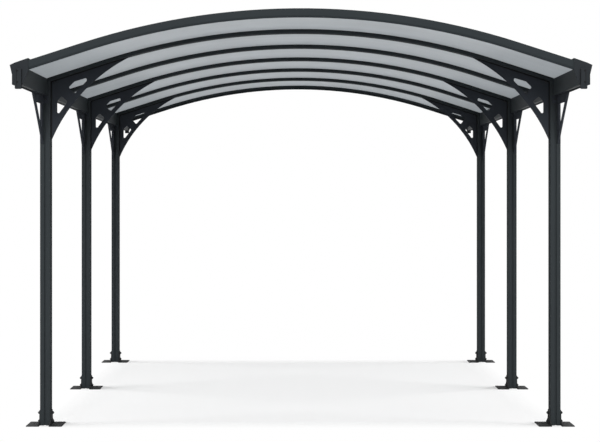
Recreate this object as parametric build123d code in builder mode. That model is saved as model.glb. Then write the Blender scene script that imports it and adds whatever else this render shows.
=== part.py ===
"""Free-standing carport: aluminium frame, six posts, arched roof of six translucent panels.

Millimetres. X runs across the carport, Y along it (the front is at -Y), Z up from the floor.
The origin is on the floor, under the middle of the roof.
"""

from math import cos, radians, sin

from build123d import *
import os

# Plan of the frame
post_spacing = 3300
bay_length = 1400
panel_pitch = 700
roof_length = 4200
panel_count = 6
sides = {"left": -1, "right": 1}
rows = {"front": -bay_length, "middle": 0, "back": bay_length}

# Roof curve: the underside of the panels, an arc that runs out into two straight eaves
roof_radius = 4158
roof_apex = 2562
eave_angle = 17.85
panel_thickness = 6
panel_half_width = 1660
panel_gap = 2

# Posts
post_size = 65
post_corner = 2
post_wall = 3
groove_width = 13
groove_depth = 10

# Gutter beams
gutter_inner = 1637
gutter_outer = 1690
gutter_lip = 1702
gutter_bottom = 2133
gutter_floor = 2188
gutter_slant = 2192
gutter_rim = 2243
gutter_inner_rim = 2242
gutter_wall = 3
gutter_edge = 2
gutter_slot_inner = 1655
gutter_slot_outer = 1684
gutter_slot_depth = 9
gutter_length = roof_length - 10

# Roof ribs
rib_depth = 60
rib_drop = 23
rib_web = 14
rib_cover = 10
rib_cover_half_width = 1664

# Fascias at the two ends of the roof
fascia_face = roof_length / 2 - 5
fascia_thickness = 10
fascia_drop = 34
fascia_rise = 19
fascia_bevel_height = 13
fascia_bevel_depth = 8
fascia_half_width = 1630
ledge_depth = 36
ledge_thickness = 12
lip_depth = 28
lip_thickness = 6

# Arch brackets: plates between a post and its rib
arch_plate = 8
arch_foot_height = 1838
arch_middle = (1425, 2143)
arch_reach = 1100
arch_hole_corner = 9
arch_upper_window = ((1386, 2251), (1466, 2227), (1503, 2190), (1466, 2145), (1386, 2231))
arch_lower_window = ((1509, 2096), (1549, 2131), (1578, 2100), (1578, 2003))

# Eave brackets: plates between a post and its gutter, along the carport
eave_plate = 12
eave_plate_across = 1665.5
eave_reach = 272
eave_drop = 311
eave_end = 8
eave_sag = 5
eave_bar = 20
eave_window_top = 56
eave_window_side = 40
eave_window_corner = 5
eave_flange = 34
eave_flange_thickness = 4
eave_post_flange = 22
eave_tab = 45
eave_tab_height = 51

# Foot brackets: the leg is a narrow tongue that flares out to the flange
foot_leg_thickness = 6
foot_flange_thickness = 5
foot_reach = 77
foot_depth = 144
foot_height = 97
foot_tip = 46
foot_neck = 56
foot_neck_height = 38
foot_shoulder = 9
foot_neck_curve = 14
foot_tip_curve = 8
foot_corner = 4
foot_bolt_heights = (24, 78)
foot_bolt_radius = 4.5
anchor_hole_radius = 5.5
anchor_from_post = 76

# Gutter caps
cap_face = roof_length / 2
cap_plate = 5
cap_wall = 3.5
cap_sleeve = 50
cap_inner = 1599
cap_crown = (1677, 2262)
cap_peak = 2289
cap_heel = 2213
cap_toe = 1631
cap_corner_rise = 5
strip_inner = 1636
strip_outer = 1673
strip_bottom = 2107
strip_top = 2228
strip_proud = 16
strip_corner = 4

os.makedirs("parts", exist_ok=True)


def save(piece, name):
    """Label a finished piece and write it as its own file."""
    piece.label = name
    export_step(piece, f"parts/{name}.step")


def roof_height(across, offset=0):
    """Height of the roof line at a distance across, offset square to the curve."""
    radius = roof_radius + offset
    centre = roof_apex - roof_radius
    slope = radians(eave_angle)
    tangent = radius * sin(slope)
    if abs(across) <= tangent:
        return centre + (radius**2 - across**2) ** 0.5
    return centre + radius * cos(slope) - (abs(across) - tangent) * sin(slope) / cos(slope)


def roof_band(low, high, half_width):
    """Strip between two parallels of the roof curve, cut off upright at both ends."""
    with BuildSketch() as band:
        with BuildLine():
            for offset in (low, high):
                tangent = (roof_radius + offset) * sin(radians(eave_angle))
                knee_left = (-tangent, roof_height(tangent, offset))
                knee_right = (tangent, roof_height(tangent, offset))
                apex = (0, roof_height(0, offset))
                Line((-half_width, roof_height(half_width, offset)), knee_left)
                ThreePointArc(knee_left, apex, knee_right)
                Line(knee_right, (half_width, roof_height(half_width, offset)))
            for end in (-half_width, half_width):
                Line((end, roof_height(end, low)), (end, roof_height(end, high)))
        make_face()
    return band.sketch


def across_plane(along):
    """Upright plane across the carport; its sketch reads as X and Z."""
    return Plane.XZ.offset(-along)


def post_section():
    """Hollow square section with a groove down the middle of each face."""
    with BuildSketch() as section:
        RectangleRounded(post_size, post_size, post_corner)
        with PolarLocations((post_size - groove_depth) / 2, 4):
            Rectangle(groove_depth, groove_width, mode=Mode.SUBTRACT)
        with BuildSketch(mode=Mode.PRIVATE) as hollow:
            Rectangle(post_size - 2 * post_wall, post_size - 2 * post_wall)
            channel = groove_depth + post_wall
            with PolarLocations((post_size - channel) / 2, 4):
                Rectangle(channel, groove_width + 2 * post_wall, mode=Mode.SUBTRACT)
        add(hollow.sketch, mode=Mode.SUBTRACT)
    return section.sketch


def gutter_section(side):
    """Closed beam with a slot underneath, open rain channel above, its outer wall leaning out."""
    wall = gutter_wall
    with BuildSketch() as section:
        with BuildLine():
            Polyline(
                (side * (gutter_inner + gutter_edge), gutter_bottom),
                (side * gutter_inner, gutter_bottom + gutter_edge),
                (side * gutter_inner, gutter_inner_rim),
                (side * (gutter_inner + wall), gutter_inner_rim),
                (side * (gutter_inner + wall), gutter_floor),
                (side * (gutter_outer - wall), gutter_floor),
                (side * (gutter_outer - wall), gutter_slant),
                (side * (gutter_lip - wall), gutter_rim),
                (side * gutter_lip, gutter_rim),
                (side * gutter_outer, gutter_slant),
                (side * gutter_outer, gutter_bottom + gutter_edge),
                (side * (gutter_outer - gutter_edge), gutter_bottom),
                close=True,
            )
        make_face()
        beam_middle = side * (gutter_inner + gutter_outer) / 2
        slot_middle = side * (gutter_slot_inner + gutter_slot_outer) / 2
        slot_top = gutter_bottom + gutter_slot_depth
        with Locations((slot_middle, (gutter_bottom + slot_top) / 2)):
            Rectangle(gutter_slot_outer - gutter_slot_inner, gutter_slot_depth, mode=Mode.SUBTRACT)
        with Locations((beam_middle, (slot_top + gutter_floor) / 2)):
            Rectangle(
                gutter_outer - gutter_inner - 2 * wall,
                gutter_floor - slot_top - 2 * wall,
                mode=Mode.SUBTRACT,
            )
    return section.sketch


def build_post(side, along):
    """Post whose top is cut away round the gutter, with a tongue up to the rib."""
    centre = side * post_spacing / 2
    inner_face = post_spacing / 2 - post_size / 2
    cut_width = 2 * post_size
    with BuildPart() as post:
        with BuildSketch(Plane.XY):
            with Locations((centre, along)):
                add(post_section())
        extrude(amount=gutter_rim)
        with BuildSketch(across_plane(along)):
            with Locations((side * (gutter_inner + cut_width / 2), gutter_bottom + post_size)):
                Rectangle(cut_width, 2 * post_size)
            with BuildLine():
                Polyline(
                    (side * inner_face, roof_height(inner_face, -rib_drop)),
                    (side * gutter_inner, roof_height(gutter_inner, -rib_drop)),
                    (side * gutter_inner, gutter_rim + post_size),
                    (side * inner_face, gutter_rim + post_size),
                    close=True,
                )
            make_face()
        extrude(amount=post_size, both=True, mode=Mode.SUBTRACT)
    return post.part


def build_foot_brackets(side, along):
    """Two L-shaped feet, one each side of the post, bolted to it and to the ground."""
    leg_face = post_size / 2
    flange_end = leg_face + foot_leg_thickness + foot_reach
    half_foot = foot_depth / 2
    with BuildPart() as feet:
        for hand in (-1, 1):
            post_face = side * post_spacing / 2 + hand * leg_face
            with BuildSketch(Plane.YZ.offset(post_face)) as leg:
                with BuildLine():
                    Polyline(
                        (along - half_foot, 0),
                        (along + half_foot, 0),
                        (along + half_foot, foot_shoulder),
                        (along + foot_neck / 2, foot_neck_height),
                        (along + foot_tip / 2, foot_height),
                        (along - foot_tip / 2, foot_height),
                        (along - foot_neck / 2, foot_neck_height),
                        (along - half_foot, foot_shoulder),
                        close=True,
                    )
                make_face()
                corners = leg.vertices().group_by(Axis.Y)
                fillet(corners[-1], foot_tip_curve)
                fillet(corners[-2], foot_neck_curve)
                with Locations(*[(along, height) for height in foot_bolt_heights]):
                    Circle(foot_bolt_radius, mode=Mode.SUBTRACT)
            extrude(amount=hand * foot_leg_thickness)
            with BuildSketch(Plane.XY):
                flange_start = leg_face + foot_leg_thickness
                flange_middle = side * post_spacing / 2 + hand * (flange_start + flange_end) / 2
                with Locations((flange_middle, along)):
                    Rectangle(foot_reach, foot_depth)
                with Locations((side * post_spacing / 2 + hand * anchor_from_post, along)):
                    Circle(anchor_hole_radius, mode=Mode.SUBTRACT)
            extrude(amount=foot_flange_thickness)
        outer_corners = feet.edges().filter_by(Axis.Z).filter_by(
            lambda edge: abs(abs(edge.center().X - side * post_spacing / 2) - flange_end) < 1
        )
        chamfer(outer_corners, foot_corner)
    return feet.part


def build_gutter(side):
    """Gutter beam along one side of the roof."""
    with BuildPart() as gutter:
        with BuildSketch(Plane.XZ):
            add(gutter_section(side))
        extrude(amount=gutter_length / 2, both=True)
    return gutter.part


def build_fascia(end):
    """Arched end rail: bevelled face plate, ledge under the panel and lip over it."""
    middle = end * (fascia_face - fascia_thickness / 2)
    inside = fascia_face - fascia_thickness
    with BuildPart() as fascia:
        with BuildSketch(across_plane(middle)):
            add(roof_band(-fascia_drop, fascia_rise, fascia_half_width))
        extrude(amount=fascia_thickness / 2, both=True)
        outer_face = fascia.faces().sort_by(Axis.Y)[-1 if end > 0 else 0]
        lower_edges = outer_face.edges().filter_by(
            lambda edge: edge.center().Z < roof_height(edge.center().X, -fascia_drop / 2)
        )
        chamfer(lower_edges, fascia_bevel_height, fascia_bevel_depth, reference=outer_face)
        with BuildSketch(across_plane(end * (inside - ledge_depth / 2))):
            add(roof_band(-ledge_thickness, 0, gutter_inner - gutter_wall))
        extrude(amount=ledge_depth / 2, both=True)
        with BuildSketch(across_plane(end * (inside - lip_depth / 2))):
            add(roof_band(panel_thickness, panel_thickness + lip_thickness, fascia_half_width))
        extrude(amount=lip_depth / 2, both=True)
    return fascia.part


def build_rib(along):
    """Arched rib: seat under the panels, web between them, cover strip on top."""
    with BuildPart() as rib:
        with BuildSketch(across_plane(along)):
            add(roof_band(-rib_drop, 0, gutter_inner))
        extrude(amount=rib_depth / 2, both=True)
        with BuildSketch(across_plane(along)):
            add(roof_band(0, panel_thickness, panel_half_width))
        extrude(amount=rib_web / 2, both=True)
        with BuildSketch(across_plane(along)):
            add(roof_band(panel_thickness, panel_thickness + rib_cover, rib_cover_half_width))
        extrude(amount=rib_depth / 2, both=True)
    return rib.part


def build_panel(start, stop):
    """Curved translucent panel between two ribs or a rib and a fascia."""
    with BuildPart() as panel:
        with BuildSketch(across_plane((start + stop) / 2)):
            add(roof_band(0, panel_thickness, panel_half_width))
        extrude(amount=(stop - start) / 2, both=True)
    return panel.part


def build_arch_bracket(side, along):
    """Plate from the post to the rib: concave lower edge and two rounded windows."""
    root = post_spacing / 2 - post_size / 2
    knee = (roof_radius - rib_drop) * sin(radians(eave_angle))

    def under_rib(across):
        return (side * across, roof_height(across, -rib_drop))

    with BuildPart() as bracket:
        with BuildSketch(across_plane(along)):
            with BuildLine():
                ThreePointArc(
                    (side * root, arch_foot_height),
                    (side * arch_middle[0], arch_middle[1]),
                    under_rib(arch_reach),
                )
                ThreePointArc(
                    under_rib(arch_reach), under_rib((arch_reach + knee) / 2), under_rib(knee)
                )
                Line(under_rib(knee), under_rib(root))
                Line(under_rib(root), (side * root, arch_foot_height))
            make_face()
            with BuildSketch(mode=Mode.PRIVATE) as windows:
                for outline in (arch_upper_window, arch_lower_window):
                    with BuildLine():
                        Polyline(*[(side * across, height) for across, height in outline], close=True)
                    make_face()
                fillet(windows.vertices(), arch_hole_corner)
            add(windows.sketch, mode=Mode.SUBTRACT)
        extrude(amount=arch_plate / 2, both=True)
    return bracket.part


def build_eave_brackets(side, along):
    """Two triangular plates, towards the front and the back, from the post to the gutter."""
    top = gutter_bottom
    steep = eave_drop - eave_end
    shallow = eave_reach - eave_end
    middle = (
        (eave_reach + eave_end) / 2 - eave_sag * steep / (steep**2 + shallow**2) ** 0.5,
        top - (eave_drop + eave_end) / 2 + eave_sag * shallow / (steep**2 + shallow**2) ** 0.5,
    )
    bar_across = eave_bar * (steep**2 + shallow**2) ** 0.5 / shallow
    window_top = top - eave_window_top
    window_low = middle[1] + bar_across - (middle[0] - eave_window_side) * steep / shallow
    window_end = eave_window_side + (window_top - window_low) * shallow / steep
    with BuildPart() as brackets:
        for hand in (-1, 1):
            face = along + hand * post_size / 2
            with BuildSketch(Plane.YZ.offset(side * eave_plate_across)):
                with BuildLine():
                    Polyline(
                        (face + hand * eave_end, top - eave_drop),
                        (face, top - eave_drop),
                        (face, top),
                        (face + hand * eave_reach, top),
                        (face + hand * eave_reach, top - eave_end),
                    )
                    ThreePointArc(
                        (face + hand * eave_reach, top - eave_end),
                        (face + hand * middle[0], middle[1]),
                        (face + hand * eave_end, top - eave_drop),
                    )
                make_face()
                with BuildSketch(mode=Mode.PRIVATE) as window:
                    with BuildLine():
                        Polyline(
                            (face + hand * eave_window_side, window_low),
                            (face + hand * eave_window_side, window_top),
                            (face + hand * window_end, window_top),
                            close=True,
                        )
                    make_face()
                    fillet(window.vertices(), eave_window_corner)
                add(window.sketch, mode=Mode.SUBTRACT)
            extrude(amount=eave_plate / 2, both=True)
            plate_inner = eave_plate_across - eave_plate / 2
            plate_outer = eave_plate_across + eave_plate / 2
            with BuildSketch(Plane.XZ.offset(-face)):
                with Locations((side * (plate_inner + eave_post_flange / 2), top - eave_drop / 2)):
                    Rectangle(eave_post_flange, eave_drop)
                with Locations((side * (plate_outer - eave_tab / 2), top - eave_tab_height / 2)):
                    Rectangle(eave_tab, eave_tab_height)
            extrude(amount=-hand * eave_flange_thickness)
            with BuildSketch(Plane.XY.offset(top)):
                with Locations((side * (plate_outer - eave_flange / 2), face + hand * eave_reach / 2)):
                    Rectangle(eave_flange, eave_reach)
            extrude(amount=-eave_flange_thickness)
    return brackets.part


def cap_outline(side, inside):
    """Front outline of a gutter cap; inside shrinks it to the hollow behind the face."""
    with BuildSketch() as outline:
        with BuildLine():
            Polyline(
                (side * cap_inner, cap_heel),
                (side * cap_inner, cap_peak - inside),
                (side * cap_crown[0], cap_crown[1] - inside),
                (side * (gutter_lip + cap_wall + 1 - inside), gutter_rim + cap_corner_rise - inside),
                (side * (gutter_outer + cap_wall - inside), gutter_slant),
                (side * (gutter_outer + cap_wall - inside), gutter_bottom),
                (side * cap_toe, gutter_bottom),
                close=True,
            )
        make_face()
    return outline.sketch


def build_gutter_cap(side, end):
    """Moulded cap: face over the gutter and the fascia end, sleeve round the outside."""
    with BuildPart() as cap:
        with BuildSketch(across_plane(end * (cap_face - cap_plate / 2))):
            add(cap_outline(side, 0))
        extrude(amount=cap_plate / 2, both=True)
        with BuildSketch(across_plane(end * (cap_face - cap_plate - cap_sleeve / 2))):
            add(cap_outline(side, 0))
            with Locations((side * (gutter_inner - cap_sleeve), gutter_bottom)):
                Rectangle(2 * cap_sleeve, 4 * cap_sleeve, mode=Mode.SUBTRACT)
            add(cap_outline(side, cap_wall), mode=Mode.SUBTRACT)
        extrude(amount=cap_sleeve / 2, both=True)
        with BuildSketch(across_plane(end * (cap_face + strip_proud / 2))):
            with Locations((side * (strip_inner + strip_outer) / 2, (strip_bottom + strip_top) / 2)):
                RectangleRounded(strip_outer - strip_inner, strip_top - strip_bottom, strip_corner)
        extrude(amount=strip_proud / 2, both=True)
    return cap.part


for row, along in rows.items():
    for hand, side in sides.items():
        save(build_post(side, along), f"post_{hand}_{row}")
        save(build_foot_brackets(side, along), f"foot_brackets_{hand}_{row}")
        save(build_arch_bracket(side, along), f"arch_bracket_{hand}_{row}")
        save(build_eave_brackets(side, along), f"eave_brackets_{hand}_{row}")

for hand, side in sides.items():
    save(build_gutter(side), f"gutter_{hand}")
    save(build_gutter_cap(side, -1), f"gutter_cap_{hand}_front")
    save(build_gutter_cap(side, 1), f"gutter_cap_{hand}_back")

save(build_fascia(-1), "front_fascia")
save(build_fascia(1), "back_fascia")

for number in range(1, panel_count):
    save(build_rib(number * panel_pitch - roof_length / 2), f"roof_rib_{number}")

for number in range(1, panel_count + 1):
    start = (number - 1) * panel_pitch - roof_length / 2 + rib_web / 2 + panel_gap
    stop = number * panel_pitch - roof_length / 2 - rib_web / 2 - panel_gap
    if number == 1:
        start = panel_gap - fascia_face + fascia_thickness
    if number == panel_count:
        stop = fascia_face - fascia_thickness - panel_gap
    save(build_panel(start, stop), f"roof_panel_{number}")
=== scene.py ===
"""Finish, fasteners, seals and studio for a free-standing carport with an arched roof.

Metres. X runs across the carport, Y along it from front to back, Z up from the floor.
"""

import math

import bpy
import numpy as np
from bpy.props import FloatProperty, FloatVectorProperty, PointerProperty
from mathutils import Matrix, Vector


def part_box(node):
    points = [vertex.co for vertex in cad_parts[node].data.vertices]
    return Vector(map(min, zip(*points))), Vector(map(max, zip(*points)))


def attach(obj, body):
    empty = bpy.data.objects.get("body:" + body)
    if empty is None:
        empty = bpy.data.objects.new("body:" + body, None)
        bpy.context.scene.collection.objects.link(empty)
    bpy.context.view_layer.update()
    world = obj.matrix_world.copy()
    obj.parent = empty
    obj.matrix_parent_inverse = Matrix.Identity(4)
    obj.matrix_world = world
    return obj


bl_info = {
    "name": "Arched Carport",
    "version": (1, 0, 0),
    "blender": (4, 5, 0),
    "location": "View3D > Sidebar > Carport",
    "description": "Finish, fasteners, seals and studio of an arched carport",
    "category": "Object",
}

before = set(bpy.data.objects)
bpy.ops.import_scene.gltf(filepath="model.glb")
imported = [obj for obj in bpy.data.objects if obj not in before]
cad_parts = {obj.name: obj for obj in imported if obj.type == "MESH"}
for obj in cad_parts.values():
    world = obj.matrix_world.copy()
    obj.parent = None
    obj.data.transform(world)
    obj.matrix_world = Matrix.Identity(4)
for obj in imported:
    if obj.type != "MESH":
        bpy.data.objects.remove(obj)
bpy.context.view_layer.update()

MM = 0.001
HANDS = {"left": -1, "right": 1}
ROWS = ("front", "middle", "back")
ENDS = {"front": -1, "back": 1}
POSTS = [(hand, row) for row in ROWS for hand in HANDS]
RIBS = [name for name in sorted(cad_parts) if name.startswith("roof_rib_")]
PANELS = [name for name in sorted(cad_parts) if name.startswith("roof_panel_")]
SIDES_ROUND = 24

# Roof curve, as in the solids: radius and slope of the panels' underside, and the rise from there
# to the ribs' top
ROOF_RADIUS = 4.158
EAVE_SLOPE = math.radians(17.85)
RIB_RISE = 16 * MM

# Fasteners: sizes as shares of the bolt's or the screw head's diameter
NUT_FLAT = 0.8
NUT_HEIGHT = 0.8
THREAD_PITCH = 0.15
THREAD_CORE = 0.9
HEAD_HEIGHT = 0.4


def colour_setting(name, description, default):
    """A colour a user would change, written as linear red, green and blue."""
    return FloatVectorProperty(
        name=name, description=description, default=default, subtype="COLOR", size=3, min=0, max=1
    )


def length_setting(name, description, default):
    """A length a user would change, in metres."""
    return FloatProperty(name=name, description=description, default=default, unit="LENGTH")


class CarportFinish(bpy.types.PropertyGroup):
    """Colours and textures of the carport's surfaces"""

    coat: colour_setting(
        "Coat", "Powder coat of the posts and gutters", (0.029, 0.0345, 0.0375)
    )
    # Darker than the posts' coat: the ribs' and fascias' own coat with painted shade from under the
    # roof
    rib: colour_setting("Ribs", "Powder coat of the ribs and fascias", (0.023, 0.028, 0.031))
    bracket: colour_setting("Brackets", "Powder coat of the cut plates", (0.028, 0.032, 0.039))
    foot: colour_setting("Feet", "Powder coat of the bent steel feet", (0.026, 0.027, 0.028))
    cap: colour_setting("Caps", "Moulded plastic of the gutter caps", (0.019, 0.022, 0.025))
    steel: colour_setting(
        "Fasteners", "Blackened steel of the bolts and screws", (0.028, 0.030, 0.032)
    )
    # Rubber also colours the dark strips that paint shade at the bracket joints and on the caps
    rubber: colour_setting(
        "Rubber", "Rubber of the seals, gaskets, plugs and seams", (0.010, 0.010, 0.011)
    )
    sheet: colour_setting("Sheet", "Light thrown back by the roof sheet", (0.26, 0.270, 0.283))
    sheet_glow: colour_setting(
        "Sheet glow", "Light let through the roof sheet", (0.535, 0.557, 0.572)
    )
    flute: length_setting("Flute", "Distance between the walls inside the roof sheet", 6 * MM)
    grain: length_setting("Grain", "Size of the powder coat's fine bumps", 1.4 * MM)


class CarportFasteners(bpy.types.PropertyGroup):
    """Sizes of bolts, screws and seals"""

    bolt: length_setting("Foot bolt", "Diameter of the bolts through the feet", 10 * MM)
    screw: length_setting("Screw head", "Diameter of the round screw heads", 12 * MM)
    seal: length_setting("Seal", "Width of the rubber seals beside the ribs", 4 * MM)


class CarportStudio(bpy.types.PropertyGroup):
    """Camera, floor and light"""

    distance: length_setting(
        "Distance", "From the camera to the front faces of the front posts", 7.112
    )
    height: length_setting("Height", "Height of the camera above the floor", 1.451)
    aside: length_setting("Aside", "How far the camera stands to the right of the middle", -0.046)
    lens: FloatProperty(
        name="Lens", description="Focal length", default=66.03, subtype="DISTANCE_CAMERA"
    )
    floor: colour_setting("Floor", "Pale studio floor", (0.40, 0.40, 0.40))
    floor_bounce: colour_setting(
        "Floor bounce", "Light that the floor throws on the carport", (0.2, 0.2, 0.2)
    )
    surroundings: FloatProperty(
        name="Surroundings", description="Strength of the light from all sides", default=0.33, min=0
    )
    softbox: FloatProperty(
        name="Softbox", description="Power of the light above the roof", default=80000, unit="POWER"
    )
    side: FloatProperty(
        name="Side lights", description="Power of each light that draws the feet's shadows",
        default=5600, unit="POWER",
    )
    front: FloatProperty(
        name="Front light", description="Power of the light in front", default=2100, unit="POWER"
    )


def joined(parts):
    """Several (points, faces) lists as one: each part's faces count on from the points before."""
    points, faces, start = [], [], 0
    for part_points, part_faces in parts:
        points.append(part_points)
        faces += [[start + corner for corner in face] for face in part_faces]
        start += len(part_points)
    return np.concatenate(points), faces


def grid_faces(rows, columns):
    """Quads of a grid of points, rows by columns, closed round the columns, with both ends capped.

    Point (i, j) is number i * columns + j. Each quad runs (i, j), (i, j+1), (i+1, j+1), (i+1, j).
    """
    i, j = np.meshgrid(np.arange(rows - 1), np.arange(columns), indexing="ij")
    after = (j + 1) % columns
    quads = np.stack(
        [i * columns + j, i * columns + after, (i + 1) * columns + after, (i + 1) * columns + j], -1
    )
    last = (rows - 1) * columns
    ends = [list(range(columns))[::-1], list(range(last, last + columns))]
    return quads.reshape(-1, 4).tolist() + ends


def turned(profile, hexagon=False):
    """A turned form: the profile's (radius, height) points are carried round the Z axis.

    At angle a the point is (r s cos a, r s sin a, h). For a round form s is 1. For a hexagon, r is
    the distance of a flat and s is 1 / cos(a folded into -30..30 degrees); rings narrower than the
    widest one are cut to a circle a little wider than r, which gives the chamfered corners.
    """
    chamfer_circle = 1.06
    radius, height = np.array(profile, float).T
    angle = np.arange(SIDES_ROUND) * 2 * math.pi / SIDES_ROUND
    sixth = math.pi / 3
    scale = np.ones(SIDES_ROUND)
    if hexagon:
        scale = 1 / np.cos((angle + sixth / 2) % sixth - sixth / 2)
    limit = np.where(radius < radius.max(), radius * chamfer_circle, np.inf)
    reach = np.minimum(radius[:, None] * scale, limit[:, None])
    heights = np.broadcast_to(height[:, None], reach.shape)
    points = np.stack([reach * np.cos(angle), reach * np.sin(angle), heights], -1)
    return points.reshape(-1, 3), grid_faces(len(radius), SIDES_ROUND)


def facing(axis):
    """Rotation whose third column is axis, so that a form made along Z then points that way."""
    nearly_upright = 0.9
    third = np.array(axis, float)
    third /= np.linalg.norm(third)
    helper = np.array([0, 0, 1.0]) if abs(third[2]) < nearly_upright else np.array([1.0, 0, 0])
    first = np.cross(helper, third)
    first /= np.linalg.norm(first)
    return np.stack([first, np.cross(third, first), third], 1)


def placed(form, place, axis):
    """A form made along Z, turned to point along axis and moved to its place."""
    points, faces = form
    return points @ facing(axis).T + np.array(place, float), faces


def swept(section, path, across):
    """A closed section carried along a path, with flat ends.

    Point (i, j) is path i plus section j's first number times the across vector, plus its second
    number times the path's own normal, which is the path's direction turned square to across. The
    section is written counter-clockwise and taken backwards, so that the faces look outwards.
    """
    path, across = np.array(path, float), np.array(across, float)
    section = np.array(section, float)[::-1]
    along = np.gradient(path, axis=0)
    along /= np.linalg.norm(along, axis=1)[:, None]
    normal = np.cross(across, along)
    points = path[:, None] + section[None, :, :1] * across + section[None, :, 1:] * normal[:, None]
    return points.reshape(-1, 3), grid_faces(len(path), len(section))


def add_piece(name, parts, material):
    """Puts the joined parts into a mesh object that rides on the frame."""
    points, faces = joined(parts)
    mesh = bpy.data.meshes.new(name)
    mesh.from_pydata(points.tolist(), [], faces)
    mesh.validate()
    mesh.materials.append(material)
    piece = bpy.data.objects.new(name, mesh)
    bpy.context.scene.collection.objects.link(piece)
    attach(piece, "root")


class Nodes:
    """Adds nodes to a tree and links them by the names of their sockets."""

    def __init__(self, tree):
        self.tree = tree

    def add(self, kind, settings=None, **inputs):
        """A node of this kind; an input is a socket to link from, or a plain value."""
        node = self.tree.nodes.new(kind)
        for key, value in (settings or {}).items():
            setattr(node, key, value)
        for key, value in inputs.items():
            socket = node.inputs[int(key[1:]) if key[0] == "_" else key.replace("_", " ")]
            if isinstance(value, bpy.types.NodeSocket):
                self.tree.links.new(value, socket)
            else:
                socket.default_value = value
        return node

    def maths(self, operation, first, second=0.0):
        """One step of arithmetic, as a socket."""
        return self.add("ShaderNodeMath", {"operation": operation}, _0=first, _1=second).outputs[0]

    def blend(self, mode, factor, first, second):
        """Two colours mixed, as a socket."""
        node = self.add("ShaderNodeMix", {"data_type": "RGBA", "blend_type": mode}, _0=factor)
        for slot, value in ((6, first), (7, second)):
            if isinstance(value, bpy.types.NodeSocket):
                self.tree.links.new(value, node.inputs[slot])
            else:
                node.inputs[slot].default_value = value
        return node.outputs[2]


def shader_group(name, inputs, outputs):
    """An empty shader node group with these sockets: its nodes, input node and output node."""
    tree = bpy.data.node_groups.new(name, "ShaderNodeTree")
    for label, kind, default in inputs:
        socket = tree.interface.new_socket(label, in_out="INPUT", socket_type=kind)
        if default is not None:
            socket.default_value = default
    for label, kind in outputs:
        tree.interface.new_socket(label, in_out="OUTPUT", socket_type=kind)
    nodes = Nodes(tree)
    return nodes, nodes.add("NodeGroupInput"), nodes.add("NodeGroupOutput")


def powder_coat_group():
    """Powder coat: slow drifts of shade, and fine orange-peel bumps that the roughness follows."""
    speck_depth, rough_swing = 0.05, 0.22
    nodes, source, result = shader_group(
        "Powder Coat",
        [
            ("Position", "NodeSocketVector", None),
            ("Colour", "NodeSocketColor", (0.05, 0.05, 0.05, 1)),
            ("Grain", "NodeSocketFloat", 1.4 * MM),
            ("Drift", "NodeSocketFloat", 0.14),
            ("Roughness", "NodeSocketFloat", 0.45),
        ],
        [
            ("Colour", "NodeSocketColor"),
            ("Roughness", "NodeSocketFloat"),
            ("Height", "NodeSocketFloat"),
        ],
    )
    frequency = nodes.maths("DIVIDE", 1.0, source.outputs["Grain"])
    peel = nodes.add(
        "ShaderNodeTexNoise", Vector=source.outputs["Position"], Scale=frequency, Detail=2.0
    ).outputs["Fac"]
    slow = nodes.add(
        "ShaderNodeTexNoise", Vector=source.outputs["Position"], Scale=1.7, Detail=3.0
    ).outputs["Fac"]
    swing = nodes.maths("MULTIPLY", nodes.maths("SUBTRACT", slow, 0.5), source.outputs["Drift"])
    bumps = nodes.maths("SUBTRACT", peel, 0.5)
    speck = nodes.maths("MULTIPLY", bumps, speck_depth)
    shade = nodes.maths("ADD", nodes.maths("ADD", 1.0, swing), speck)
    tone = nodes.add("ShaderNodeCombineColor", Red=shade, Green=shade, Blue=shade).outputs[0]
    colour = nodes.blend("MULTIPLY", 1.0, source.outputs["Colour"], tone)
    swing_of_rough = nodes.maths("MULTIPLY", bumps, rough_swing)
    rough = nodes.maths("ADD", source.outputs["Roughness"], swing_of_rough)
    nodes.tree.links.new(colour, result.inputs["Colour"])
    nodes.tree.links.new(rough, result.inputs["Roughness"])
    nodes.tree.links.new(peel, result.inputs["Height"])
    return nodes.tree


def dust_group():
    """Settled dust: a pale film, patchy, on what faces up."""
    nodes, source, result = shader_group(
        "Settled Dust",
        [
            ("Position", "NodeSocketVector", None),
            ("Colour", "NodeSocketColor", (0.05, 0.05, 0.05, 1)),
            ("Dust", "NodeSocketColor", (0.30, 0.29, 0.27, 1)),
            ("Amount", "NodeSocketFloat", 0.10),
        ],
        [("Colour", "NodeSocketColor"), ("Cover", "NodeSocketFloat")],
    )
    normal = nodes.add("ShaderNodeNewGeometry").outputs["Normal"]
    up = nodes.add("ShaderNodeSeparateXYZ", Vector=normal).outputs["Z"]
    level = nodes.add(
        "ShaderNodeMapRange", {"interpolation_type": "SMOOTHSTEP"},
        Value=up, From_Min=0.35, From_Max=0.95,
    ).outputs[0]
    patches = nodes.add(
        "ShaderNodeTexNoise", Vector=source.outputs["Position"],
        Scale=9.0, Detail=5.0, Roughness=0.65,
    ).outputs["Fac"]
    patchy = nodes.add("ShaderNodeMapRange", Value=patches, From_Min=0.3, From_Max=0.75).outputs[0]
    lying = nodes.maths("MULTIPLY", level, patchy)
    cover = nodes.maths("MULTIPLY", lying, source.outputs["Amount"])
    colour = nodes.blend("MIX", cover, source.outputs["Colour"], source.outputs["Dust"])
    nodes.tree.links.new(colour, result.inputs["Colour"])
    nodes.tree.links.new(cover, result.inputs["Cover"])
    return nodes.tree


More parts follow.
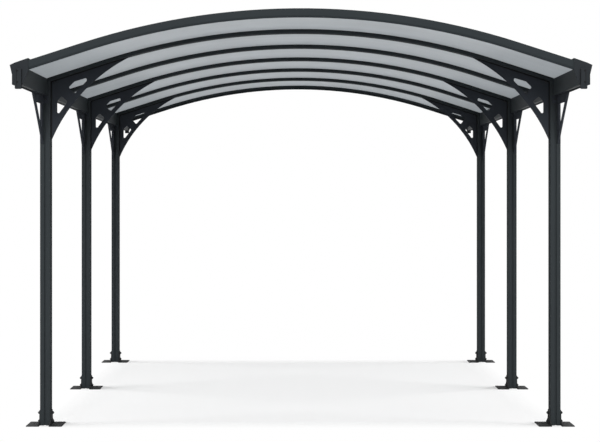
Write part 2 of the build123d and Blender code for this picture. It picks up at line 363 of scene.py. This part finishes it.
def sheet_group():
    """Multiwall sheet: thin walls run across the roof at even steps, with faint streaks."""
    wall_sharpness, streak_depth = 4.0, 0.12
    nodes, source, result = shader_group(
        "Multiwall Sheet",
        [
            ("Position", "NodeSocketVector", None),
            ("Colour", "NodeSocketColor", (0.5, 0.5, 0.5, 1)),
            ("Pitch", "NodeSocketFloat", 6 * MM),
            ("Contrast", "NodeSocketFloat", 0.12),
        ],
        [("Colour", "NodeSocketColor"), ("Height", "NodeSocketFloat")],
    )
    along = nodes.add("ShaderNodeSeparateXYZ", Vector=source.outputs["Position"]).outputs["Y"]
    whole_turns = nodes.maths("MULTIPLY", along, 2 * math.pi)
    wave = nodes.maths("COSINE", nodes.maths("DIVIDE", whole_turns, source.outputs["Pitch"]))
    raised = nodes.maths("ABSOLUTE", nodes.maths("MULTIPLY_ADD", wave, 0.5))
    wall = nodes.maths("POWER", raised, wall_sharpness)
    stretched = nodes.add(
        "ShaderNodeMapping", Vector=source.outputs["Position"], Scale=(0.6, 24.0, 0.6)
    ).outputs[0]
    streaks = nodes.add(
        "ShaderNodeTexNoise", Vector=stretched, Scale=1.0, Detail=4.0
    ).outputs["Fac"]
    cloud = nodes.add(
        "ShaderNodeTexNoise", Vector=source.outputs["Position"], Scale=2.2, Detail=2.0
    ).outputs["Fac"]
    dark = nodes.maths("MULTIPLY", wall, source.outputs["Contrast"])
    uneven = nodes.maths("SUBTRACT", nodes.maths("ADD", streaks, cloud), 1.0)
    swing = nodes.maths("MULTIPLY", uneven, streak_depth)
    shade = nodes.maths("ADD", nodes.maths("SUBTRACT", 1.0, dark), swing)
    tone = nodes.add("ShaderNodeCombineColor", Red=shade, Green=shade, Blue=shade).outputs[0]
    colour = nodes.blend("MULTIPLY", 1.0, source.outputs["Colour"], tone)
    nodes.tree.links.new(colour, result.inputs["Colour"])
    nodes.tree.links.new(wall, result.inputs["Height"])
    return nodes.tree


def group(name, maker):
    """The shared node group of this name, made the first time it is asked for."""
    return bpy.data.node_groups.get(name) or maker()


def blank_material(name):
    """A material with an empty tree: itself, its nodes, its output and the object position."""
    material = bpy.data.materials.new(name)
    material.use_nodes = True
    material.node_tree.nodes.clear()
    nodes = Nodes(material.node_tree)
    output = nodes.add("ShaderNodeOutputMaterial")
    position = nodes.add("ShaderNodeTexCoord").outputs["Object"]
    return material, nodes, output, position


def coated_material(
    name, colour, grain, roughness, metallic=0.0, sheen=0.08, drift=0.14, bump=0.15, dust=0.04
):
    """Powder-coated or moulded surface with settled dust; the settings make each finish."""
    material, nodes, output, position = blank_material(name)
    coat = nodes.add(
        "ShaderNodeGroup", {"node_tree": group("Powder Coat", powder_coat_group)},
        Position=position, Colour=(*colour, 1), Grain=grain, Drift=drift, Roughness=roughness,
    )
    film = nodes.add(
        "ShaderNodeGroup", {"node_tree": group("Settled Dust", dust_group)}, Position=position,
        Colour=coat.outputs["Colour"], Amount=dust,
    )
    depth = grain / 10
    relief = nodes.add(
        "ShaderNodeBump", Strength=bump, Distance=depth, Height=coat.outputs["Height"]
    )
    rough = nodes.maths("ADD", coat.outputs["Roughness"], film.outputs["Cover"])
    shader = nodes.add(
        "ShaderNodeBsdfPrincipled", Base_Color=film.outputs["Colour"], Roughness=rough,
        Metallic=metallic, Specular_IOR_Level=sheen, Normal=relief.outputs[0],
    )
    nodes.tree.links.new(shader.outputs[0], output.inputs["Surface"])
    return material


def sheet_material(name, finish):
    """Translucent grey sheet: half of the surface throws light back and half lets it through."""
    wall_contrast = 0.10
    material, nodes, output, position = blank_material(name)
    sheet = group("Multiwall Sheet", sheet_group)
    front = nodes.add(
        "ShaderNodeGroup", {"node_tree": sheet}, Position=position, Colour=(*finish.sheet, 1),
        Pitch=finish.flute, Contrast=wall_contrast,
    )
    through = nodes.add(
        "ShaderNodeGroup", {"node_tree": sheet}, Position=position,
        Colour=(*finish.sheet_glow, 1), Pitch=finish.flute, Contrast=wall_contrast,
    )
    film = nodes.add(
        "ShaderNodeGroup", {"node_tree": group("Settled Dust", dust_group)}, Position=position,
        Colour=front.outputs["Colour"], Amount=0.06,
    )
    relief = nodes.add(
        "ShaderNodeBump", Strength=0.15, Distance=0.2 * MM, Height=front.outputs["Height"]
    )
    gloss = nodes.add(
        "ShaderNodeBsdfPrincipled", Base_Color=film.outputs["Colour"], Roughness=0.35,
        Specular_IOR_Level=0.2, Normal=relief.outputs[0],
    )
    glow = nodes.add("ShaderNodeBsdfTranslucent", Color=through.outputs["Colour"])
    mix = nodes.add("ShaderNodeMixShader", Fac=0.5, _1=gloss.outputs[0], _2=glow.outputs[0])
    nodes.tree.links.new(mix.outputs[0], output.inputs["Surface"])
    return material


def dress(names, material):
    """Gives CAD nodes their material, in every slot they have."""
    for name in names:
        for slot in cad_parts[name].material_slots:
            slot.material = material


def fastener_material():
    """Blackened steel for the bolts and screws, made once."""
    finish = bpy.context.scene.carport_finish
    found = bpy.data.materials.get("blackened_steel")
    return found or coated_material(
        "blackened_steel", finish.steel, finish.grain / 2, roughness=0.38, metallic=0.35,
        drift=0.3, dust=0.05,
    )


def rubber_and_shade_material():
    """Black rubber of the seals and plugs, and of the dark strips that paint shade at the brackets
    and caps, made once.
    """
    finish = bpy.context.scene.carport_finish
    found = bpy.data.materials.get("black_rubber_and_painted_shade")
    return found or coated_material(
        "black_rubber_and_painted_shade", finish.rubber, finish.grain, roughness=0.7, bump=0.1, dust=0.02
    )


def washer(hole, thickness):
    """Plain washer with rounded edges, its back on Z = 0."""
    edge = thickness * 0.3
    outer = hole * 2
    flat = outer - edge
    return turned([(flat, 0), (outer, edge), (outer, thickness - edge), (flat, thickness)])


def nut(bolt, base):
    """Hexagon nut with chamfered corners, its back at height base."""
    flat, height = bolt * NUT_FLAT, bolt * NUT_HEIGHT
    rim, chamfer, top = flat * 0.98, height * 0.12, base + height
    return turned(
        [(rim, base), (flat, base + chamfer), (flat, top - chamfer), (rim, top)], hexagon=True
    )


def stud_end(bolt, base, length):
    """Threaded end of a bolt: rings stand for the thread, and the tip is chamfered."""
    pitch, radius = bolt * THREAD_PITCH, bolt / 2
    rings = max(int(length / pitch), 1)
    step = np.arange(rings * 2)
    radii = radius * np.where(step % 2, 1.0, THREAD_CORE)
    profile = list(zip(radii, base + step * pitch / 2))
    tip = base + rings * pitch
    return turned(profile + [(radius * THREAD_CORE, tip), (bolt * 0.38, tip + pitch / 2)])


def round_head(width, height):
    """Low domed screw head with a round socket, its back on Z = 0.

    The dome is an ellipse on a short upright rim: at angle t its radius is r cos t, and its height
    is h (rim + (1 - rim) sin t). It ends at the crown's angle, where the flat top begins.
    """
    radius, rim, crown, rings = width / 2, 0.25, math.radians(62), 6
    turn = np.linspace(0, crown, rings)
    dome = list(zip(radius * np.cos(turn), height * (rim + (1 - rim) * np.sin(turn))))
    top = dome[-1][1]
    socket = width * 0.2
    recess = [(socket, top), (socket * 0.94, top * 0.45), (socket * 0.1, top * 0.4)]
    return turned([(radius * 0.96, 0)] + dome + recess)


def post_centre(hand, row):
    """Middle of a post on the floor, from its feet."""
    low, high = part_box(f"foot_brackets_{hand}_{row}")
    return (low.x + high.x) / 2, (low.y + high.y) / 2


def roof_path(offset, reach, steps=72):
    """A line parallel to the panels' underside, as its (across, height) points.

    The offset is measured outwards from the panels' underside: an arc up to the eave slope, then a
    straight line that runs on at that slope. The arc's centre is below the apex by its radius.
    """
    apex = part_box(RIBS[0])[1].z - RIB_RISE
    across = np.linspace(-reach, reach, steps)
    arm = ROOF_RADIUS + offset
    tangent = arm * math.sin(EAVE_SLOPE)
    arc = np.sqrt(np.maximum(arm**2 - across**2, 0))
    straight = arm * math.cos(EAVE_SLOPE) - (np.abs(across) - tangent) * math.tan(EAVE_SLOPE)
    height = apex - ROOF_RADIUS + np.where(np.abs(across) <= tangent, arc, straight)
    return across, height


class CARPORT_OT_coat_frame(bpy.types.Operator):
    """Powder-coat the posts, gutters, ribs, fascias, brackets and feet"""

    bl_idname = "carport.coat_frame"
    bl_label = "Coat Frame"

    def execute(self, context):
        finish = context.scene.carport_finish
        grain = finish.grain
        coat = coated_material("frame_coat", finish.coat, grain, roughness=0.78)
        # The ribs and fascias take a darker copy of the coat, which paints the shade under the roof
        dark = coated_material("rib_coat_with_painted_shade", finish.rib, grain, roughness=0.78)
        satin = coated_material("gutter_coat", finish.coat, grain, roughness=0.55, sheen=0.14)
        plates = coated_material("bracket_coat", finish.bracket, grain, roughness=0.78)
        feet = coated_material("foot_coat", finish.foot, grain, roughness=0.72, dust=0.08)
        dress(RIBS + ["front_fascia", "back_fascia"], dark)
        dress(["gutter_left", "gutter_right"], satin)
        for hand, row in POSTS:
            dress([f"post_{hand}_{row}"], coat)
            dress([f"arch_bracket_{hand}_{row}", f"eave_brackets_{hand}_{row}"], plates)
            dress([f"foot_brackets_{hand}_{row}"], feet)
        return {"FINISHED"}


class CARPORT_OT_mould_caps(bpy.types.Operator):
    """Give the gutter caps their moulded plastic"""

    bl_idname = "carport.mould_caps"
    bl_label = "Mould Caps"

    def execute(self, context):
        finish = context.scene.carport_finish
        fine = finish.grain * 0.6
        plastic = coated_material("cap_plastic", finish.cap, fine, roughness=0.72, bump=0.15)
        dress([f"gutter_cap_{hand}_{end}" for hand in HANDS for end in ENDS], plastic)
        return {"FINISHED"}


class CARPORT_OT_glaze_roof(bpy.types.Operator):
    """Give the roof panels their translucent sheet"""

    bl_idname = "carport.glaze_roof"
    bl_label = "Glaze Roof"

    def execute(self, context):
        dress(PANELS, sheet_material("roof_sheet", context.scene.carport_finish))
        return {"FINISHED"}


class CARPORT_OT_foot_bolts(bpy.types.Operator):
    """Bolt the feet to the posts: a washer, a nut and a bolt end at each hole"""

    bl_idname = "carport.foot_bolts"
    bl_label = "Foot Bolts"

    heights = (24 * MM, 78 * MM)
    leg_face = 38.5 * MM
    washer_thickness = 2 * MM
    stud_length = 3 * MM

    def execute(self, context):
        size = context.scene.carport_fasteners.bolt
        plate = self.washer_thickness
        nut_top = plate + size * NUT_HEIGHT
        forms = (
            washer(size / 2, plate), nut(size, plate), stud_end(size, nut_top, self.stud_length)
        )
        parts = []
        for hand, row in POSTS:
            across, along = post_centre(hand, row)
            for out in (-1, 1):
                for height in self.heights:
                    place = (across + out * self.leg_face, along, height)
                    parts += [placed(form, place, (out, 0, 0)) for form in forms]
        add_piece("foot_bolts", parts, fastener_material())
        return {"FINISHED"}


class CARPORT_OT_bracket_screws(bpy.types.Operator):
    """Screw the arch brackets and the eave brackets to the posts and gutters"""

    bl_idname = "carport.bracket_screws"
    bl_label = "Bracket Screws"

    # Each screw's place is how far across it is from the middle and how high above the floor
    plate_screw = (1.594, 2.224)
    plate_half = 4 * MM
    post_face = 32.5 * MM
    tab_screw = (1.645, 2.108)
    tab_face = 36.5 * MM
    gutter_reaches = (0.11, 0.19)
    gutter_screw = (1.6485, 2.129)

    def execute(self, context):
        head = context.scene.carport_fasteners.screw
        form = round_head(head, head * HEAD_HEIGHT)
        level_screws = ((self.plate_screw, self.plate_half), (self.tab_screw, self.tab_face))
        parts = []
        for hand, row in POSTS:
            along = post_centre(hand, row)[1]
            side = HANDS[hand]
            for out in (-1, 1):
                for (across, height), face in level_screws:
                    place = (side * across, along + out * face, height)
                    parts.append(placed(form, place, (0, out, 0)))
                across, height = self.gutter_screw
                for reach in self.gutter_reaches:
                    place = (side * across, along + out * (self.post_face + reach), height)
                    parts.append(placed(form, place, (0, 0, -1)))
        add_piece("bracket_screws", parts, fastener_material())
        return {"FINISHED"}


class CARPORT_OT_bracket_shade_strips(bpy.types.Operator):
    """Paint the shade where the arch brackets meet the posts and the ribs, as thin dark strips"""

    bl_idname = "carport.bracket_gaskets"
    bl_label = "Bracket Shade Strips"

    half_width = 3.5 * MM
    half_depth = 5 * MM
    post_face = 1.6175
    foot = 1.853
    rib_underside = -23 * MM
    tip = 1.135
    curve_steps = 300
    upright_steps = 8

    def execute(self, context):
        wide, deep = self.half_width, self.half_depth
        section = [(-deep, -wide), (deep, -wide), (deep, wide), (-deep, wide)]
        reach = self.post_face - wide
        across, height = roof_path(self.rib_underside - wide, reach, self.curve_steps)
        under_rib = across > self.tip
        across, height = across[under_rib], height[under_rib]
        rise = np.linspace(self.foot, height[-1], self.upright_steps)
        runs = ((across, height), (np.full_like(rise, across[-1]), rise))
        parts = []
        for hand, row in POSTS:
            along = post_centre(hand, row)[1]
            side = HANDS[hand]
            for run, climb in runs:
                path = np.stack([side * run, np.full_like(run, along), climb], -1)
                parts.append(swept(section, path, (0, side, 0)))
        add_piece("bracket_shade_strips", parts, rubber_and_shade_material())
        return {"FINISHED"}


class CARPORT_OT_cap_screws(bpy.types.Operator):
    """Screw the caps to the gutter ends, with black plugs over the screws"""

    bl_idname = "carport.cap_screws"
    bl_label = "Cap Screws"

    heights = (2.147, 2.213)
    across = 1.6575
    plug_share = 0.8

    def execute(self, context):
        head = context.scene.carport_fasteners.screw * self.plug_share
        form = round_head(head, head * HEAD_HEIGHT)
        parts = []
        for hand, side in HANDS.items():
            for end, out in ENDS.items():
                low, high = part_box(f"gutter_cap_{hand}_{end}")
                face = high.y if out > 0 else low.y
                for height in self.heights:
                    parts.append(placed(form, (side * self.across, face, height), (0, out, 0)))
        add_piece("cap_screws", parts, rubber_and_shade_material())
        return {"FINISHED"}


class CARPORT_OT_cap_shade_lines(bpy.types.Operator):
    """Paint the shade beside and on the raised strip of each cap as two thin dark lines"""

    bl_idname = "carport.cap_seams"
    bl_label = "Cap Shade Lines"

    # Each line's distance across from the middle, and how far behind the cap's foremost face it lies
    lines = ((1.6345, 16 * MM), (1.664, 0.0))
    heights = (2.127, 2.222)
    half_width = 1.8 * MM
    half_depth = 1 * MM
    steps = 4

    def execute(self, context):
        wide, deep = self.half_width, self.half_depth
        section = [(-wide, -deep), (wide, -deep), (wide, deep), (-wide, deep)]
        rise = np.linspace(*self.heights, self.steps)
        parts = []
        for hand, side in HANDS.items():
            for end, out in ENDS.items():
                low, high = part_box(f"gutter_cap_{hand}_{end}")
                face = high.y if out > 0 else low.y
                for across, behind in self.lines:
                    foot = (side * across, face - out * behind, 0)
                    path = np.array(foot) + np.outer(rise, (0, 0, 1))
                    parts.append(swept(section, path, (1, 0, 0)))
        add_piece("cap_shade_lines", parts, rubber_and_shade_material())
        return {"FINISHED"}


class CARPORT_OT_rib_seals(bpy.types.Operator):
    """Run a rubber seal along both edges of each rib, under the panels"""

    bl_idname = "carport.rib_seals"
    bl_label = "Rib Seals"

    reach = 1.625
    drop = -1.5 * MM
    bulge_at_rib = 1.5 * MM
    bulge_away = 1.2 * MM
    top = 1.4 * MM

    def execute(self, context):
        half = context.scene.carport_fasteners.seal / 2
        across, height = roof_path(self.drop, self.reach)
        section = [
            (-half, -self.bulge_at_rib),
            (half, -self.bulge_away),
            (half, self.top),
            (-half, self.top),
        ]
        parts = []
        for rib in RIBS:
            low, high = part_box(rib)
            for edge, out in ((low.y, -1), (high.y, 1)):
                path = np.stack([across, np.full_like(across, edge + out * half), height], -1)
                parts.append(swept(section, path, (0, 1, 0)))
        add_piece("rib_seals", parts, rubber_and_shade_material())
        return {"FINISHED"}


class CARPORT_OT_studio(bpy.types.Operator):
    """Lay the floor, hang the softboxes and set up the camera"""

    bl_idname = "carport.studio"
    bl_label = "Studio"

    floor_half = 40.0
    half_bays = (1.62, 1.42)
    floor_fade = 0.14
    floor_lift = 0.21
    softbox_size = (5.0, 30.0)
    softbox_height = 60.0
    front_size = (11.0, 6.0)
    front_place = (0.0, -16.0, 7.0)
    front_aim = (0.0, -1.0, 1.0)
    side_size = (8.0, 1.2)
    side_place = (12.0, 0.0, 2.0)
    principal_point = (293.2, 201.0)
    image_size = (600, 442)
    sensor_width = 36.0
    far_limit = 200.0

    def seen(self, nodes):
        """1 for camera, glossy and transmission rays, else 0."""
        path = nodes.add("ShaderNodeLightPath")
        both = nodes.maths("MAXIMUM", path.outputs["Is Camera Ray"], path.outputs["Is Glossy Ray"])
        return nodes.maths("MAXIMUM", both, path.outputs["Is Transmission Ray"])

    def lay_floor(self, studio):
        """A wide floor that keeps the shadow between the posts and fades to plain white."""
        half = self.floor_half
        corners = [(-half, -half, 0), (half, -half, 0), (half, half, 0), (-half, half, 0)]
        mesh = bpy.data.meshes.new("studio_floor")
        mesh.from_pydata(corners, [], [(0, 1, 2, 3)])
        floor = bpy.data.objects.new("studio_floor", mesh)
        bpy.context.scene.collection.objects.link(floor)
        material, nodes, output, position = blank_material("studio_floor")
        seen = self.seen(nodes)
        colour = nodes.blend("MIX", seen, (*studio.floor_bounce, 1), (*studio.floor, 1))
        plain = nodes.add("ShaderNodeBsdfDiffuse", Color=colour)
        lift_strength = nodes.maths("MULTIPLY", seen, self.floor_lift)
        lift = nodes.add("ShaderNodeEmission", Color=(1, 1, 1, 1), Strength=lift_strength)
        lifted = nodes.add("ShaderNodeAddShader", _0=plain.outputs[0], _1=lift.outputs[0])
        white = nodes.add("ShaderNodeEmission", Color=(1, 1, 1, 1), Strength=1.0)
        place = nodes.add("ShaderNodeSeparateXYZ", Vector=position)
        beyond = [
            nodes.maths("SUBTRACT", nodes.maths("ABSOLUTE", place.outputs[axis]), half_bay)
            for axis, half_bay in zip("XY", self.half_bays)
        ]
        share = nodes.add(
            "ShaderNodeMapRange", {"interpolation_type": "SMOOTHSTEP"},
            Value=nodes.maths("MAXIMUM", *beyond),
            From_Min=-self.floor_fade, From_Max=self.floor_fade,
        ).outputs[0]
        seen_share = nodes.maths("MULTIPLY", seen, share)
        mix = nodes.add(
            "ShaderNodeMixShader", Fac=seen_share, _1=lifted.outputs[0], _2=white.outputs[0]
        )
        nodes.tree.links.new(mix.outputs[0], output.inputs["Surface"])
        mesh.materials.append(material)

    def hang_softbox(self, scene, name, size, place, aim, power):
        """A rectangular lamp at a place, turned to face its aim."""
        lamp = bpy.data.lights.new(name, "AREA")
        lamp.shape = "RECTANGLE"
        lamp.size, lamp.size_y = size
        lamp.energy = power
        softbox = bpy.data.objects.new(name, lamp)
        softbox.location = place
        softbox.visible_camera = False
        direction = Vector(aim) - Vector(place)
        softbox.rotation_euler = direction.to_track_quat("-Z", "Y").to_euler()
        scene.collection.objects.link(softbox)
        return softbox

    def light(self, scene, studio):
        """Pale surroundings and four softboxes.

        A long one hangs over the roof and a wide one in front. A low one on each side lights only
        the floor, where it draws the feet's shadows.
        """
        world = bpy.data.worlds.new("studio_surroundings")
        scene.world = world
        world.use_nodes = True
        world.node_tree.nodes.clear()
        nodes = Nodes(world.node_tree)
        strength = nodes.add(
            "ShaderNodeMapRange", Value=self.seen(nodes), To_Min=studio.surroundings, To_Max=1.0
        ).outputs[0]
        background = nodes.add("ShaderNodeBackground", Color=(1, 1, 1, 1), Strength=strength)
        output = nodes.add("ShaderNodeOutputWorld")
        nodes.tree.links.new(background.outputs[0], output.inputs["Surface"])
        above = (0.0, 0.0, self.softbox_height)
        middle = (0, 0, 0)
        self.hang_softbox(scene, "roof_softbox", self.softbox_size, above, middle, studio.softbox)
        self.hang_softbox(
            scene, "front_softbox", self.front_size, self.front_place, self.front_aim, studio.front
        )
        only_floor = bpy.data.collections.new("only_floor")
        only_floor.objects.link(bpy.data.objects["studio_floor"])
        across, along, height = self.side_place
        for hand, side in HANDS.items():
            place = (side * across, along, height)
            softbox = self.hang_softbox(
                scene, f"{hand}_softbox", self.side_size, place, middle, studio.side
            )
            softbox.light_linking.receiver_collection = only_floor

    def frame_view(self, scene, studio):
        """Level camera in front, looking along the carport, shifted to the photograph's frame."""
        camera = bpy.data.objects.new("camera", bpy.data.cameras.new("camera"))
        scene.collection.objects.link(camera)
        front_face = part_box("post_left_front")[0].y
        camera.location = (studio.aside, front_face - studio.distance, studio.height)
        camera.rotation_euler = (math.radians(90), 0, 0)
        camera.data.lens = studio.lens
        camera.data.sensor_width = self.sensor_width
        width, height = self.image_size
        camera.data.shift_x = (width / 2 - self.principal_point[0]) / width
        camera.data.shift_y = (self.principal_point[1] - height / 2) / width
        camera.data.clip_end = self.far_limit
        scene.camera = camera

    def execute(self, context):
        scene = context.scene
        studio = scene.carport_studio
        self.lay_floor(studio)
        self.light(scene, studio)
        self.frame_view(scene, studio)
        scene.view_settings.view_transform = "Standard"
        return {"FINISHED"}


class CARPORT_PT_panel(bpy.types.Panel):
    """Lists the carport's steps and settings"""

    bl_idname = "CARPORT_PT_panel"
    bl_label = "Carport"
    bl_space_type = "VIEW_3D"
    bl_region_type = "UI"
    bl_category = "Carport"

    def draw(self, context):
        for operator in OPERATORS:
            self.layout.operator(operator.bl_idname)
        for settings in SETTINGS:
            group_of = getattr(context.scene, settings)
            for name in group_of.__annotations__:
                self.layout.prop(group_of, name)


SETTINGS = {
    "carport_finish": CarportFinish,
    "carport_fasteners": CarportFasteners,
    "carport_studio": CarportStudio,
}
OPERATORS = (
    CARPORT_OT_coat_frame,
    CARPORT_OT_mould_caps,
    CARPORT_OT_glaze_roof,
    CARPORT_OT_foot_bolts,
    CARPORT_OT_bracket_screws,
    CARPORT_OT_bracket_shade_strips,
    CARPORT_OT_cap_screws,
    CARPORT_OT_cap_shade_lines,
    CARPORT_OT_rib_seals,
    CARPORT_OT_studio,
)


def register():
    for item in (*SETTINGS.values(), *OPERATORS, CARPORT_PT_panel):
        bpy.utils.register_class(item)
    for name, settings in SETTINGS.items():
        setattr(bpy.types.Scene, name, PointerProperty(type=settings))


def unregister():
    for name in SETTINGS:
        delattr(bpy.types.Scene, name)
    for item in (CARPORT_PT_panel, *OPERATORS[::-1], *SETTINGS.values()):
        bpy.utils.unregister_class(item)


def main():
    register()
    for operator in OPERATORS:
        getattr(bpy.ops.carport, operator.bl_idname.split(".")[1])()


if __name__ == "__main__":
    main()
